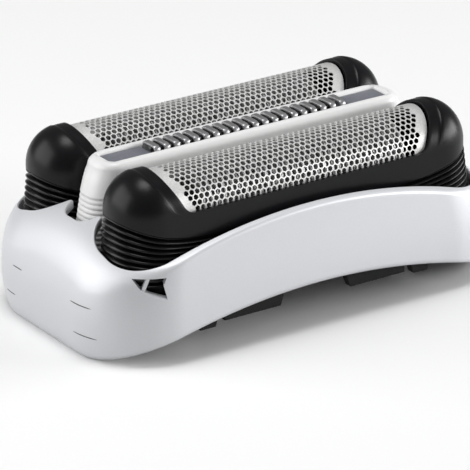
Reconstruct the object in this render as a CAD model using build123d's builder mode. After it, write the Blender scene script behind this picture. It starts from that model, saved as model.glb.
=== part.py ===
from build123d import *
import math
import os

# Shaver foil head: a ring frame with two floating foils, a centre trimmer and their drive.
# X runs along the foils, the front is -Y, and Z is up from the surface that the ring stands on.

# Rows and motion
row_offset = 9.6
float_travel = 2.0
trimmer_travel = 1.5
stroke = 1.2
run_gap = 0.25

# Foil carriers
carrier_half_length = 26.4
carrier_half_width = 5.4
carrier_end_round = 5.0
carrier_wall = 1.2
carrier_rim_z = 15.2
rim_flat_half_length = 14.0
rim_rise = 3.0
arch_z = 18.4
skirt_inset = 1.05
skirt_wall = 0.55
well_half_length = 18.6
window_sill_half_length = 18.1
window_top_half_length = 20.6
window_sill = 0.3
window_corner = 1.8
leg_half_width = 2.2
leg_thickness = 1.2
hook_reach = 0.8
hook_height = 1.8

# Foils
foil_recess = 0.55
foil_thickness = 0.15
foil_gap = 0.1
foil_tuck = 1.1
hole_width = 1.35
hole_pitch = 2.5
hole_rows = 5
holes_per_row = 14
hole_row_angle = 27

# Bellows
bellows_flare = 0.7
bellows_wall = 0.35
pleat_count = 9
pleat_depth = 0.4
bellows_corner = 5.5

# Cutters
blade_clearance = 0.1
blade_thickness = 0.3
blade_count = 13
blade_pitch = 2.6
blade_band = 1.6
blade_seat_gap = 0.1
cutter_half_length = 17.0
cutter_half_width = 3.45
cutter_body_z = 12.9
cutter_body_height = 2.8
spine_height = 2.0
socket_wall = 1.1
socket_drop = 2.4
socket_depth = 4.6
socket_gap = 0.15

# Trimmer
trimmer_levels = [(18.0, 24.3, 3.2), (20.4, 23.5, 3.2), (21.7, 22.7, 3.05), (22.3, 22.0, 2.6)]
trimmer_round_share = 0.85
trimmer_foot_half_length = 25.9
trimmer_foot_half_width = 3.1
trimmer_pleats = 12
trimmer_pleat_depth = 0.15
slot_half_length = 21.2
slot_half_width = 1.68
slot_depth = 1.5
comb_half_length = 14.8
comb_half_width = 1.66
comb_thickness = 0.3
comb_rise = 0.45
comb_leg = 2.3
comb_slot_depth = 1.5
comb_slots = 19
comb_slot_width = 0.55
comb_pitch = 1.5
ledge_half_width = 1.3
slider_half_length = 13.2
slider_half_width = 1.2
slider_rib_half_width = 0.8
slider_socket_depth = 3.2
slider_z = 13.5
slider_height = 4.4
insert_height = 1.2
insert_gap = 0.05
blade_half_length = 13.6
blade_leg = 1.6
trimmer_blade_gap = 0.1
trimmer_cavity_half_length = 15.0
trimmer_skirt_half_width = 1.9
trimmer_skirt_wall = 0.4
trimmer_skirt_inset = 1.0
trimmer_leg_half_width = 1.5
trimmer_bay_half_width = 2.0

# Ring frame
ring_levels = [(0.0, 10.5), (5.5, 10.5), (10.5, 10.0), (18.0, 9.0)]
ring_end_reaches = [4.1, 4.9, 4.1, 1.0]
ring_side_reaches = [2.7, 3.0, 2.6, 1.8]
ring_end_walls = [1.4, 1.4, 1.6, 5.0]
ring_wall = 1.2
ring_crown_z = 20.2
crown_radius_x = 76.0
crown_sag_y = 0.0135
ring_arch_z = 5.0
arch_radius_x = 89.0
arch_sag_y = 0.0035
opening_gap = 0.3
cut_margin = 10.0
pocket_gap = 0.4
pocket_corner = 2.5
seat_reach = 2.3
seat_height = 3.9
seat_half_width = 3.0
snap_x = 20.5
snap_length = 3.0
snap_reach = 0.6
snap_height = 1.1
eyelet_angle = 62
eyelet_z = 11.5
eyelet_length = 4.4
eyelet_drop = 2.4
eyelet_strut = 0.45
eyelet_strut_lean = 22

# Chassis, keeper and drive
deck_z = 8.9
deck_thickness = 1.2
chassis_end_reach = 0.8
chassis_side_reach = 1.1
chassis_corner = 7.5
chassis_wall = 1.2
chassis_skirt_z = 6.1
foot_z = 3.5
foot_start = 4.5
foot_length = 9.3
toe_z = 3.0
toe_start = 14.2
toe_length = 3.3
bay_half_width = 4.6
rib_width = 1.0
bar_half_length = 9.6
bar_half_width = 2.0
bar_z = 4.5
bar_top_z = 5.9
bridge_half_width = 2.6
bridge_z = 3.9
hub_radius = 2.6
hub_z = 3.1
hub_top_z = 8.3
pin_radius = 1.5
pin_depth = 4.6
post_half_width = 1.4
post_top_z = 12.7
trimmer_post_half_width = 0.8
trimmer_post_top_z = 14.7
keeper_thickness = 1.0
keeper_half_length = 14.2
keeper_half_width = 4.9
boss_x = 12.5
boss_radius = 1.1
stake_radius = 0.6
stake_head = 0.4

# Springs
spring_x = 7.2
spring_radius = 1.3
trimmer_spring_radius = 0.95
spring_wire = 0.2
spring_turns = 4
peg_radius = 0.8
trimmer_peg_radius = 0.5
peg_height = 1.5

deck_top_z = deck_z + deck_thickness
block_half_depth = row_offset + carrier_half_width
ring_profile = [
    (z, carrier_half_length + end_reach, block_half_depth + side_reach, corner)
    for (z, corner), end_reach, side_reach in zip(ring_levels, ring_end_reaches, ring_side_reaches)
]
pocket_half_length = trimmer_foot_half_length + pocket_gap
chassis_half_length = carrier_half_length + chassis_end_reach
chassis_half_depth = block_half_depth + chassis_side_reach
foil_radius = carrier_half_width - foil_recess
blade_radius = foil_radius - foil_thickness - blade_clearance
skirt_half_width = carrier_half_width - skirt_inset
skirt_z = deck_top_z + float_travel + run_gap
bellows_top_z = carrier_rim_z + rim_rise - foil_gap
bay_half_length = well_half_length + leg_thickness + run_gap
hook_z = deck_z - run_gap - hook_height
trimmer_skirt_z = deck_top_z + trimmer_travel + run_gap
trimmer_leg_x = slot_half_length - 2 * leg_thickness
trimmer_bay_half_length = trimmer_leg_x + leg_thickness + run_gap
trimmer_rim_z, trimmer_rim_half_length, _ = trimmer_levels[0]
trimmer_top_z = trimmer_levels[-1][0]
comb_top_z = trimmer_top_z + comb_rise
comb_z = comb_top_z - comb_leg
blade_top_z = comb_top_z - comb_thickness - trimmer_blade_gap
slider_top_z = slider_z + slider_height
cutter_top_z = cutter_body_z + cutter_body_height
spine_half_width = blade_radius - blade_band - blade_seat_gap
socket_z = cutter_body_z - socket_drop
socket_half_width = post_half_width + socket_gap
rib_y = (trimmer_bay_half_width + row_offset - bay_half_width) / 2
keeper_z = bridge_z - run_gap - keeper_thickness

os.makedirs("parts", exist_ok=True)


def save(builder, name):
    builder.part.label = name
    export_step(builder.part, f"parts/{name}.step")


def under_rim(row_plane, gap):
    """All that lies below a carrier's rim, which is level in the middle and rises to both ends."""
    low = deck_z - arch_z
    level = carrier_rim_z - arch_z - gap
    far = carrier_half_length + cut_margin
    with BuildSketch(row_plane) as region:
        with BuildLine():
            Polyline(
                (0, low),
                (far, low),
                (far, level + rim_rise),
                (carrier_half_length, level + rim_rise),
            )
            TangentArc(
                (rim_flat_half_length, level), (carrier_half_length, level + rim_rise), tangent=(1, 0)
            )
            Polyline((rim_flat_half_length, level), (0, level), (0, low))
        make_face()
        mirror(about=Plane.YZ)
    return region.sketch


# Ring frame: a thin moulded belt, bowed out at the ends, with an opening shaped to the three elements.
with BuildPart() as ring_frame:
    for z, half_length, half_depth, corner in ring_profile:
        with BuildSketch(Plane.XY.offset(z)):
            RectangleRounded(2 * half_length, 2 * half_depth, corner)
    loft()
    # The hollow narrows towards the top, which leaves a closed shoulder at each end.
    for (z, half_length, half_depth, corner), end_wall in zip(ring_profile, ring_end_walls):
        with BuildSketch(Plane.XY.offset(z)):
            RectangleRounded(
                2 * (half_length - end_wall), 2 * (half_depth - ring_wall), corner - ring_wall
            )
    loft(mode=Mode.SUBTRACT)
    reach = block_half_depth + cut_margin
    # The top edge follows a crowned barrel, high in the middle of each side.
    with BuildSketch(Plane.YZ):
        with BuildLine():
            crown_low = ring_crown_z - crown_sag_y * reach**2
            crown_axis = ring_crown_z - crown_radius_x
            ThreePointArc((-reach, crown_low), (0, ring_crown_z), (reach, crown_low))
            Polyline((reach, crown_low), (reach, crown_axis), (-reach, crown_axis), (-reach, crown_low))
        make_face()
    revolve(axis=Axis((0, 0, crown_axis), (0, 1, 0)), mode=Mode.INTERSECT)
    # The lower edge is arched along the sides, and meets the table at the two ends.
    with BuildSketch(Plane.YZ):
        with BuildLine():
            arch_high = ring_arch_z + arch_sag_y * reach**2
            arch_axis = ring_arch_z - arch_radius_x
            ThreePointArc((-reach, arch_high), (0, ring_arch_z), (reach, arch_high))
            Polyline((reach, arch_high), (reach, arch_axis), (-reach, arch_axis), (-reach, arch_high))
        make_face()
    revolve(axis=Axis((0, 0, arch_axis), (0, 1, 0)), mode=Mode.SUBTRACT)
    # Seats at the ends stand on the deck, and snaps along the sides hold the tray from below.
    with BuildSketch(Plane.XY.offset(deck_top_z)):
        with GridLocations(2 * pocket_half_length + seat_reach, 0, 2, 1):
            Rectangle(seat_reach, 2 * seat_half_width)
    extrude(amount=seat_height)
    with BuildSketch(Plane.XY.offset(chassis_skirt_z)):
        with GridLocations(2 * snap_x, 2 * chassis_half_depth, 2, 2):
            Rectangle(snap_length, 2 * snap_reach + ring_wall)
    extrude(amount=-snap_height)
    # The opening has a lobe for each foil and a narrow pocket for the trimmer.
    lobe_half_length = carrier_half_length + bellows_flare + opening_gap
    lobe_half_width = carrier_half_width + bellows_flare + opening_gap
    with BuildSketch(Plane.XY.offset(deck_top_z)):
        with Locations((0, row_offset), (0, -row_offset)):
            RectangleRounded(2 * lobe_half_length, 2 * lobe_half_width, bellows_corner + opening_gap)
        RectangleRounded(2 * pocket_half_length, 2 * (trimmer_foot_half_width + run_gap), pocket_corner)
    extrude(amount=ring_crown_z, mode=Mode.SUBTRACT)
    # A release eyelet below the rim at two opposite corners, split by a slanted strut.
    _, eyelet_half_length, eyelet_half_depth, eyelet_corner = ring_profile[2]
    for turn in (180, 0):
        lean = math.radians(eyelet_angle + turn)
        outward = Vector(math.cos(lean), math.sin(lean), 0)
        hand = 1 if turn == 0 else -1
        corner_axis = Vector(eyelet_half_length - eyelet_corner, eyelet_half_depth - eyelet_corner, 0) * hand
        eyelet_origin = corner_axis + outward * (eyelet_corner + ring_wall) + Vector(0, 0, eyelet_z)
        with BuildSketch(Plane(eyelet_origin, x_dir=outward.rotate(Axis.Z, 90), z_dir=outward)):
            with BuildLine():
                Polyline(
                    (-eyelet_length / 2, 0),
                    (eyelet_length / 2, 0),
                    (eyelet_length / 2 - eyelet_strut, -eyelet_drop / 4),
                    (eyelet_length / 2, -eyelet_drop),
                    (-eyelet_length / 4, -eyelet_drop / 2),
                    close=True,
                )
            make_face()
            with Locations((-eyelet_length / 8, -eyelet_drop / 4)):
                Rectangle(eyelet_strut, 2 * eyelet_drop, rotation=-eyelet_strut_lean, mode=Mode.SUBTRACT)
        extrude(amount=-3 * ring_wall, mode=Mode.SUBTRACT)
save(ring_frame, "ring_frame")


# Chassis: a moulded tray with a deck that has a bay for each element, rails for the drive and feet.
with BuildPart() as chassis:
    with BuildSketch(Plane.XY.offset(chassis_skirt_z)):
        RectangleRounded(2 * chassis_half_length, 2 * chassis_half_depth, chassis_corner)
    extrude(amount=deck_top_z - chassis_skirt_z)
    with BuildSketch(Plane.XY.offset(chassis_skirt_z)):
        RectangleRounded(
            2 * (chassis_half_length - chassis_wall),
            2 * (chassis_half_depth - chassis_wall),
            chassis_corner - chassis_wall,
        )
    extrude(amount=deck_z - chassis_skirt_z, mode=Mode.SUBTRACT)
    with BuildSketch(Plane.XY.offset(deck_z)):
        with Locations((0, row_offset), (0, -row_offset)):
            Rectangle(2 * bay_half_length, 2 * bay_half_width)
        Rectangle(2 * trimmer_bay_half_length, 2 * trimmer_bay_half_width)
    extrude(amount=deck_thickness, mode=Mode.SUBTRACT)
    # Rails under the deck bear on the bridge, and the bosses carry the keeper on staked pegs.
    with BuildSketch(Plane.XY.offset(deck_z)):
        with Locations((0, rib_y), (0, -rib_y)):
            Rectangle(2 * (boss_x + boss_radius), rib_width)
    extrude(amount=-(deck_z - bar_top_z - run_gap))
    with BuildSketch(Plane.XY.offset(deck_z)):
        with GridLocations(2 * boss_x, 2 * rib_y, 2, 2):
            Circle(boss_radius)
    extrude(amount=-(deck_z - keeper_z - keeper_thickness))
    with BuildSketch(Plane.XY.offset(keeper_z + keeper_thickness)):
        with GridLocations(2 * boss_x, 2 * rib_y, 2, 2):
            Circle(stake_radius)
    extrude(amount=-keeper_thickness)
    with BuildSketch(Plane.XY.offset(keeper_z)):
        with GridLocations(2 * boss_x, 2 * rib_y, 2, 2):
            Circle(boss_radius)
    extrude(amount=-stake_head)
    # Feet and toes on the long walls, where the shaver's catches hold.
    for start, length, low in ((foot_start, foot_length, foot_z), (toe_start, toe_length, toe_z)):
        with BuildSketch(Plane.XZ.offset(chassis_half_depth - chassis_wall)):
            with BuildLine():
                Polyline(
                    (start, chassis_skirt_z),
                    (start + (chassis_skirt_z - low) / 3, low),
                    (start + length, low),
                    (start + length, chassis_skirt_z),
                    close=True,
                )
            make_face()
            mirror(about=Plane.YZ)
        feet = extrude(amount=chassis_wall)
        mirror(feet, about=Plane.XZ)
save(chassis, "chassis")

# Keeper plate: a flat plate staked to the chassis below the bridge, slotted for its hub.
with BuildPart() as keeper_plate:
    with BuildSketch(Plane.XY.offset(keeper_z)):
        RectangleRounded(2 * keeper_half_length, 2 * keeper_half_width, boss_radius)
        RectangleRounded(
            2 * (hub_radius + stroke + run_gap),
            2 * (hub_radius + run_gap),
            hub_radius,
            mode=Mode.SUBTRACT,
        )
        with GridLocations(2 * boss_x, 2 * rib_y, 2, 2):
            Circle(stake_radius + insert_gap, mode=Mode.SUBTRACT)
    extrude(amount=keeper_thickness)
save(keeper_plate, "keeper_plate")

# Drive bridge: three bars on a cross arm, with a hub for the shaver's drive pin and a post for each row.
with BuildPart() as drive_bridge:
    with BuildSketch(Plane.XY.offset(bar_z)):
        with GridLocations(0, row_offset, 1, 3):
            RectangleRounded(2 * bar_half_length, 2 * bar_half_width, bar_half_width / 2)
    extrude(amount=bar_top_z - bar_z)
    with BuildSketch(Plane.XY.offset(bridge_z)):
        RectangleRounded(2 * bridge_half_width, 2 * (row_offset + bar_half_width), bar_half_width / 2)
    extrude(amount=bar_top_z - bridge_z)
    with BuildSketch(Plane.XY.offset(hub_z)):
        Circle(hub_radius)
    extrude(amount=hub_top_z - hub_z)
    with BuildSketch(Plane.XY.offset(bar_top_z)):
        with Locations((0, row_offset), (0, -row_offset)):
            Rectangle(2 * post_half_width, 2 * post_half_width)
    extrude(amount=post_top_z - bar_top_z)
    with BuildSketch(Plane.XY.offset(hub_top_z)):
        Rectangle(2 * post_half_width, 2 * trimmer_post_half_width)
    extrude(amount=trimmer_post_top_z - hub_top_z)
    with BuildSketch(Plane.XY.offset(bar_top_z)):
        with GridLocations(2 * spring_x, 2 * row_offset, 2, 2):
            Circle(peg_radius)
        with GridLocations(2 * spring_x, 0, 2, 1):
            Circle(trimmer_peg_radius)
    extrude(amount=peg_height)
    with BuildSketch(Plane.XY.offset(hub_z)):
        Circle(pin_radius)
    extrude(amount=pin_depth, mode=Mode.SUBTRACT)
save(drive_bridge, "drive_bridge")

for side, row in (("front", -row_offset), ("rear", row_offset)):
    row_axis = Axis((0, row, arch_z), (1, 0, 0))
    row_side = Plane((0, row, arch_z), x_dir=(1, 0, 0), z_dir=(0, -1, 0))
    row_end = Plane((0, row, arch_z), x_dir=(0, 1, 0), z_dir=(1, 0, 0))

    # Foil carrier: a long black cap with domed ends, a window for the foil and hooked legs below.
    with BuildPart() as foil_carrier:
        with BuildSketch(row_side):
            RectangleRounded(2 * carrier_half_length, 2 * carrier_half_width, carrier_end_round)
            with Locations((0, -carrier_half_width / 2)):
                Rectangle(2 * carrier_half_length, carrier_half_width, mode=Mode.SUBTRACT)
        revolve(axis=row_axis)
        with BuildSketch(Plane.XY.offset(carrier_rim_z)):
            with Locations((0, row)):
                RectangleRounded(2 * carrier_half_length, 2 * carrier_half_width, carrier_end_round)
        extrude(amount=arch_z - carrier_rim_z)
        extrude(under_rim(row_side, 0), amount=2 * carrier_half_width, both=True, mode=Mode.SUBTRACT)
        with BuildSketch(Plane.XY.offset(skirt_z)):
            with Locations((0, row)):
                RectangleRounded(
                    2 * (carrier_half_length - skirt_inset),
                    2 * skirt_half_width,
                    carrier_end_round - skirt_inset,
                )
        extrude(amount=arch_z - skirt_z)
        # The bay under the foil.
        with BuildSketch(Plane.XY.offset(carrier_rim_z)):
            with Locations((0, row)):
                Rectangle(2 * well_half_length, 2 * foil_radius)
        extrude(amount=arch_z - carrier_rim_z, mode=Mode.SUBTRACT)
        with BuildSketch(Plane.XY.offset(skirt_z)):
            with Locations((0, row)):
                Rectangle(2 * well_half_length, 2 * (skirt_half_width - skirt_wall))
        extrude(amount=carrier_rim_z - skirt_z, mode=Mode.SUBTRACT)
        with BuildSketch(row_end):
            Circle(foil_radius)
            with Locations((0, -foil_radius / 2)):
                Rectangle(2 * foil_radius, foil_radius, mode=Mode.SUBTRACT)
        extrude(amount=window_top_half_length, both=True, mode=Mode.SUBTRACT)
        # The window that shows the foil leans out at its ends and has rounded lower corners.
        with BuildSketch(row_side) as window:
            with BuildLine():
                Polyline(
                    (-window_sill_half_length, window_sill),
                    (window_sill_half_length, window_sill),
                    (window_top_half_length, carrier_half_width),
                    (window_top_half_length, 2 * carrier_half_width),
                    (-window_top_half_length, 2 * carrier_half_width),
                    (-window_top_half_length, carrier_half_width),
                    close=True,
                )
            make_face()
            fillet(window.vertices().group_by(Axis.Y)[0], window_corner)
        extrude(amount=2 * carrier_half_width, both=True, mode=Mode.SUBTRACT)
        # The hollow inside each dome, open below.
        with BuildSketch(row_side):
            RectangleRounded(
                2 * (carrier_half_length - carrier_wall),
                2 * (carrier_half_width - carrier_wall),
                carrier_end_round - carrier_wall,
            )
            Rectangle(
                2 * (well_half_length + leg_thickness), 2 * carrier_half_width, mode=Mode.SUBTRACT
            )
            with Locations((0, -carrier_half_width / 2)):
                Rectangle(2 * carrier_half_length, carrier_half_width, mode=Mode.SUBTRACT)
        revolve(axis=row_axis, mode=Mode.SUBTRACT)
        with BuildSketch(Plane.XY.offset(skirt_z)):
            with Locations((0, row)):
                RectangleRounded(
                    2 * (carrier_half_length - skirt_inset - skirt_wall),
                    2 * (skirt_half_width - skirt_wall),
                    carrier_end_round - skirt_inset - skirt_wall,
                )
                Rectangle(
                    2 * (well_half_length + leg_thickness), 2 * skirt_half_width, mode=Mode.SUBTRACT
                )
        extrude(amount=arch_z - skirt_z, mode=Mode.SUBTRACT)
        # Hooked legs that hold the carrier up against the deck.
        with BuildSketch(Plane.XY.offset(hook_z)):
            with Locations((0, row)):
                with GridLocations(2 * well_half_length + leg_thickness, 0, 2, 1):
                    Rectangle(leg_thickness, 2 * leg_half_width)
        extrude(amount=skirt_z - hook_z)
        with BuildSketch(Plane.XY.offset(hook_z)):
            with Locations((0, row)):
                with GridLocations(2 * (well_half_length + leg_thickness) + hook_reach, 0, 2, 1):
                    Rectangle(hook_reach, 2 * leg_half_width)
        extrude(amount=hook_height)
    save(foil_carrier, f"{side}_foil_carrier")

    # Foil: a thin sheet bent over the cutter, with staggered rows of six-sided holes.
    with BuildPart() as foil:
        with BuildSketch(row_end):
            Circle(foil_radius)
            with Locations((0, -foil_radius / 2)):
                Rectangle(2 * foil_radius, foil_radius, mode=Mode.SUBTRACT)
            with Locations((0, -foil_tuck / 2)):
                Rectangle(2 * foil_radius, foil_tuck)
            Circle(foil_radius - foil_thickness, mode=Mode.SUBTRACT)
            with Locations((0, -foil_tuck / 2)):
                Rectangle(2 * (foil_radius - foil_thickness), foil_tuck, mode=Mode.SUBTRACT)
        extrude(amount=window_top_half_length, both=True)
        with BuildSketch(row_side):
            with BuildLine():
                sill_end = window_sill_half_length - foil_gap
                top_end = window_top_half_length - foil_gap
                Polyline(
                    (-sill_end, -carrier_half_width),
                    (sill_end, -carrier_half_width),
                    (sill_end, window_sill),
                    (top_end, carrier_half_width),
                    (-top_end, carrier_half_width),
                    (-sill_end, window_sill),
                    close=True,
                )
            make_face()
        extrude(amount=carrier_half_width, both=True, mode=Mode.INTERSECT)
        for line in range(hole_rows):
            lean = math.radians(hole_row_angle * (line - (hole_rows - 1) / 2))
            toward = (0, math.sin(lean), math.cos(lean))
            shift = hole_pitch / 4 * (1 if line % 2 else -1)
            with BuildSketch(Plane((0, row, arch_z), x_dir=(1, 0, 0), z_dir=toward)):
                with Locations((shift, 0)):
                    with GridLocations(hole_pitch, 0, holes_per_row, 1):
                        RegularPolygon(hole_width / 2, 6)
            extrude(amount=carrier_half_width, mode=Mode.SUBTRACT)
    save(foil, f"{side}_foil")

    # Bellows: a pleated rubber skirt that stands on the deck and meets the carrier's rim.
    with BuildPart() as bellows:
        for step in range(2 * pleat_count + 1):
            low_share = 1 - step / (2 * pleat_count)
            grow = bellows_flare * low_share - (pleat_depth if step % 2 else 0)
            corner = carrier_end_round + (bellows_corner - carrier_end_round) * low_share
            height = (bellows_top_z - deck_top_z) * step / (2 * pleat_count)
            with BuildSketch(Plane.XY.offset(deck_top_z + height)):
                with Locations((0, row)):
                    RectangleRounded(
                        2 * (carrier_half_length + grow), 2 * (carrier_half_width + grow), corner
                    )
        loft(ruled=True)
        extrude(
            under_rim(row_side, foil_gap), amount=2 * carrier_half_width, both=True, mode=Mode.INTERSECT
        )
        inset = pleat_depth + bellows_wall
        with BuildSketch(Plane.XY.offset(deck_top_z)):
            with Locations((0, row)):
                RectangleRounded(
                    2 * (carrier_half_length - inset),
                    2 * (carrier_half_width - inset),
                    carrier_end_round - inset,
                )
        extrude(amount=bellows_top_z - deck_top_z, mode=Mode.SUBTRACT)
    save(bellows, f"{side}_bellows")

    # Cutter carrier: a plastic block with a spine for the blades and a socket for the drive post.
    with BuildPart() as cutter_carrier:
        with BuildSketch(Plane.XY.offset(cutter_body_z)):
            with Locations((0, row)):
                RectangleRounded(2 * cutter_half_length, 2 * cutter_half_width, socket_wall)
        extrude(amount=cutter_body_height)
        with BuildSketch(Plane.XY.offset(cutter_top_z)):
            with Locations((0, row)):
                Rectangle(2 * cutter_half_length, 2 * spine_half_width)
        extrude(amount=spine_height)
        with BuildSketch(Plane.XY.offset(socket_z)):
            with Locations((0, row)):
                Rectangle(2 * socket_half_width + 2 * socket_wall, 2 * socket_half_width + 2 * socket_wall)
        extrude(amount=socket_drop)
        with BuildSketch(Plane.XY.offset(socket_z)):
            with Locations((0, row)):
                Rectangle(2 * socket_half_width, 2 * socket_half_width)
        extrude(amount=socket_depth, mode=Mode.SUBTRACT)
    save(cutter_carrier, f"{side}_cutter_carrier")

    # Cutter blades: arched steel lamellae that stand on the block, astride its spine.
    with BuildPart() as cutter_blades:
        with BuildSketch(row_end) as lamella:
            Circle(blade_radius)
            with Locations((0, -blade_radius / 2)):
                Rectangle(2 * blade_radius, blade_radius, mode=Mode.SUBTRACT)
            with Locations((0, -(arch_z - cutter_top_z) / 2)):
                Rectangle(2 * blade_radius, arch_z - cutter_top_z)
            Circle(blade_radius - blade_band, mode=Mode.SUBTRACT)
            with Locations((0, -(arch_z - cutter_top_z) / 2)):
                Rectangle(2 * (blade_radius - blade_band), arch_z - cutter_top_z, mode=Mode.SUBTRACT)
        arch = extrude(amount=blade_thickness / 2, both=True, mode=Mode.PRIVATE)
        with GridLocations(blade_pitch, 0, blade_count, 1):
            add(arch)
    save(cutter_blades, f"{side}_cutter_blades")

    # Cutter springs: two coils between the bridge and the block.
    for end, place in (("left", -spring_x), ("right", spring_x)):
        rise = cutter_body_z - bar_top_z - 2 * (spring_wire + insert_gap)
        with BuildPart() as spring:
            with BuildLine() as coil:
                Helix(
                    pitch=rise / spring_turns,
                    height=rise,
                    radius=spring_radius,
                    center=(place, row, bar_top_z + spring_wire + insert_gap),
                )
            with BuildSketch(Plane(origin=coil.line @ 0, z_dir=coil.line % 0)):
                Circle(spring_wire)
            sweep(path=coil.line, is_frenet=True)
        save(spring, f"{side}_{end}_spring")

# Trimmer holder: the white centre bar, with a slot along its top and hooked legs below.
with BuildPart() as trimmer_holder:
    for z, half_length, half_width in trimmer_levels:
        with BuildSketch(Plane.XY.offset(z)):
            RectangleRounded(2 * half_length, 2 * half_width, half_width * trimmer_round_share)
    loft()
    with BuildSketch(Plane.XY.offset(trimmer_skirt_z)):
        RectangleRounded(
            2 * (trimmer_rim_half_length - trimmer_skirt_inset),
            2 * trimmer_skirt_half_width,
            trimmer_skirt_half_width * trimmer_round_share,
        )
    extrude(amount=trimmer_rim_z - trimmer_skirt_z)
    with BuildSketch(Plane.XY.offset(trimmer_top_z - slot_depth)):
        Rectangle(2 * slot_half_length, 2 * slot_half_width)
    extrude(amount=slot_depth, mode=Mode.SUBTRACT)
    with BuildSketch(Plane.XY.offset(comb_z)):
        Rectangle(2 * trimmer_cavity_half_length, 2 * slot_half_width)
    extrude(amount=comb_leg, mode=Mode.SUBTRACT)
    with BuildSketch(Plane.XY.offset(slider_top_z)):
        Rectangle(2 * trimmer_cavity_half_length, 2 * ledge_half_width)
    extrude(amount=comb_z - slider_top_z, mode=Mode.SUBTRACT)
    with BuildSketch(Plane.XY.offset(trimmer_skirt_z)):
        Rectangle(
            2 * trimmer_cavity_half_length, 2 * (trimmer_skirt_half_width - trimmer_skirt_wall)
        )
    extrude(amount=slider_top_z + run_gap - trimmer_skirt_z, mode=Mode.SUBTRACT)
    with BuildSketch(Plane.XY.offset(hook_z)):
        with GridLocations(2 * trimmer_leg_x + leg_thickness, 0, 2, 1):
            Rectangle(leg_thickness, 2 * trimmer_leg_half_width)
    extrude(amount=trimmer_skirt_z - hook_z)
    with BuildSketch(Plane.XY.offset(hook_z)):
        with GridLocations(2 * (trimmer_leg_x + leg_thickness) + hook_reach, 0, 2, 1):
            Rectangle(hook_reach, 2 * trimmer_leg_half_width)
    extrude(amount=hook_height)
save(trimmer_holder, "trimmer_holder")

# Trimmer bellows: the white pleated skirt between the deck and the bar.
with BuildPart() as trimmer_bellows:
    for step in range(2 * trimmer_pleats + 1):
        low_share = 1 - step / (2 * trimmer_pleats)
        half_length = trimmer_rim_half_length + (
            trimmer_foot_half_length - trimmer_rim_half_length
        ) * low_share
        cut_back = trimmer_pleat_depth if step % 2 else 0
        height = (trimmer_rim_z - foil_gap - deck_top_z) * step / (2 * trimmer_pleats)
        with BuildSketch(Plane.XY.offset(deck_top_z + height)):
            RectangleRounded(
                2 * (half_length - cut_back),
                2 * (trimmer_foot_half_width - cut_back),
                trimmer_foot_half_width * trimmer_round_share - cut_back,
            )
    loft(ruled=True)
    inset = trimmer_pleat_depth + bellows_wall
    with BuildSketch(Plane.XY.offset(deck_top_z)):
        RectangleRounded(
            2 * (trimmer_rim_half_length - inset),
            2 * (trimmer_foot_half_width - inset),
            trimmer_foot_half_width * trimmer_round_share - inset,
        )
    extrude(amount=trimmer_rim_z - deck_top_z, mode=Mode.SUBTRACT)
save(trimmer_bellows, "trimmer_bellows")

# Trimmer comb: a bent steel channel, slotted across its top to make the guard teeth.
with BuildPart() as trimmer_comb:
    with BuildSketch(Plane.YZ) as channel:
        with Locations((0, comb_z + comb_leg / 2)):
            Rectangle(2 * comb_half_width, comb_leg)
        fillet(channel.vertices().group_by(Axis.Y)[-1], 2 * comb_thickness)
        with Locations((0, comb_z + (comb_leg - comb_thickness) / 2)):
            Rectangle(2 * (comb_half_width - comb_thickness), comb_leg - comb_thickness, mode=Mode.SUBTRACT)
    extrude(amount=comb_half_length, both=True)
    with BuildSketch(Plane.XY.offset(comb_top_z - comb_slot_depth)):
        with GridLocations(comb_pitch, 0, comb_slots, 1):
            Rectangle(comb_slot_width, 2 * comb_half_width)
    extrude(amount=comb_slot_depth, mode=Mode.SUBTRACT)
save(trimmer_comb, "trimmer_comb")

# Trimmer blade: the toothed channel that slides under the comb.
with BuildPart() as trimmer_blade:
    with BuildSketch(Plane.YZ):
        with Locations((0, blade_top_z - blade_leg / 2)):
            Rectangle(2 * (slider_rib_half_width + comb_thickness), blade_leg)
        with Locations((0, blade_top_z - comb_thickness - blade_leg / 2)):
            Rectangle(2 * slider_rib_half_width, blade_leg, mode=Mode.SUBTRACT)
    extrude(amount=blade_half_length, both=True)
    with BuildSketch(Plane.XY.offset(blade_top_z - comb_thickness)):
        with GridLocations(comb_pitch, 0, comb_slots - 2, 1):
            Rectangle(comb_slot_width, 2 * comb_half_width)
    extrude(amount=comb_thickness, mode=Mode.SUBTRACT)
save(trimmer_blade, "trimmer_blade")

# Trimmer slider: the plastic block that carries the blade and takes the bridge's middle post.
with BuildPart() as trimmer_slider:
    with BuildSketch(Plane.XY.offset(slider_z)):
        Rectangle(2 * slider_half_length, 2 * slider_half_width)
    extrude(amount=slider_height)
    with BuildSketch(Plane.XY.offset(slider_top_z)):
        Rectangle(2 * slider_half_length, 2 * slider_rib_half_width)
    extrude(amount=blade_top_z - comb_thickness - slider_top_z)
    with BuildSketch(Plane.XY.offset(slider_z)):
        Rectangle(2 * (post_half_width + socket_gap), 2 * (trimmer_post_half_width + socket_gap))
    extrude(amount=slider_socket_depth, mode=Mode.SUBTRACT)
save(trimmer_slider, "trimmer_slider")

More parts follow.
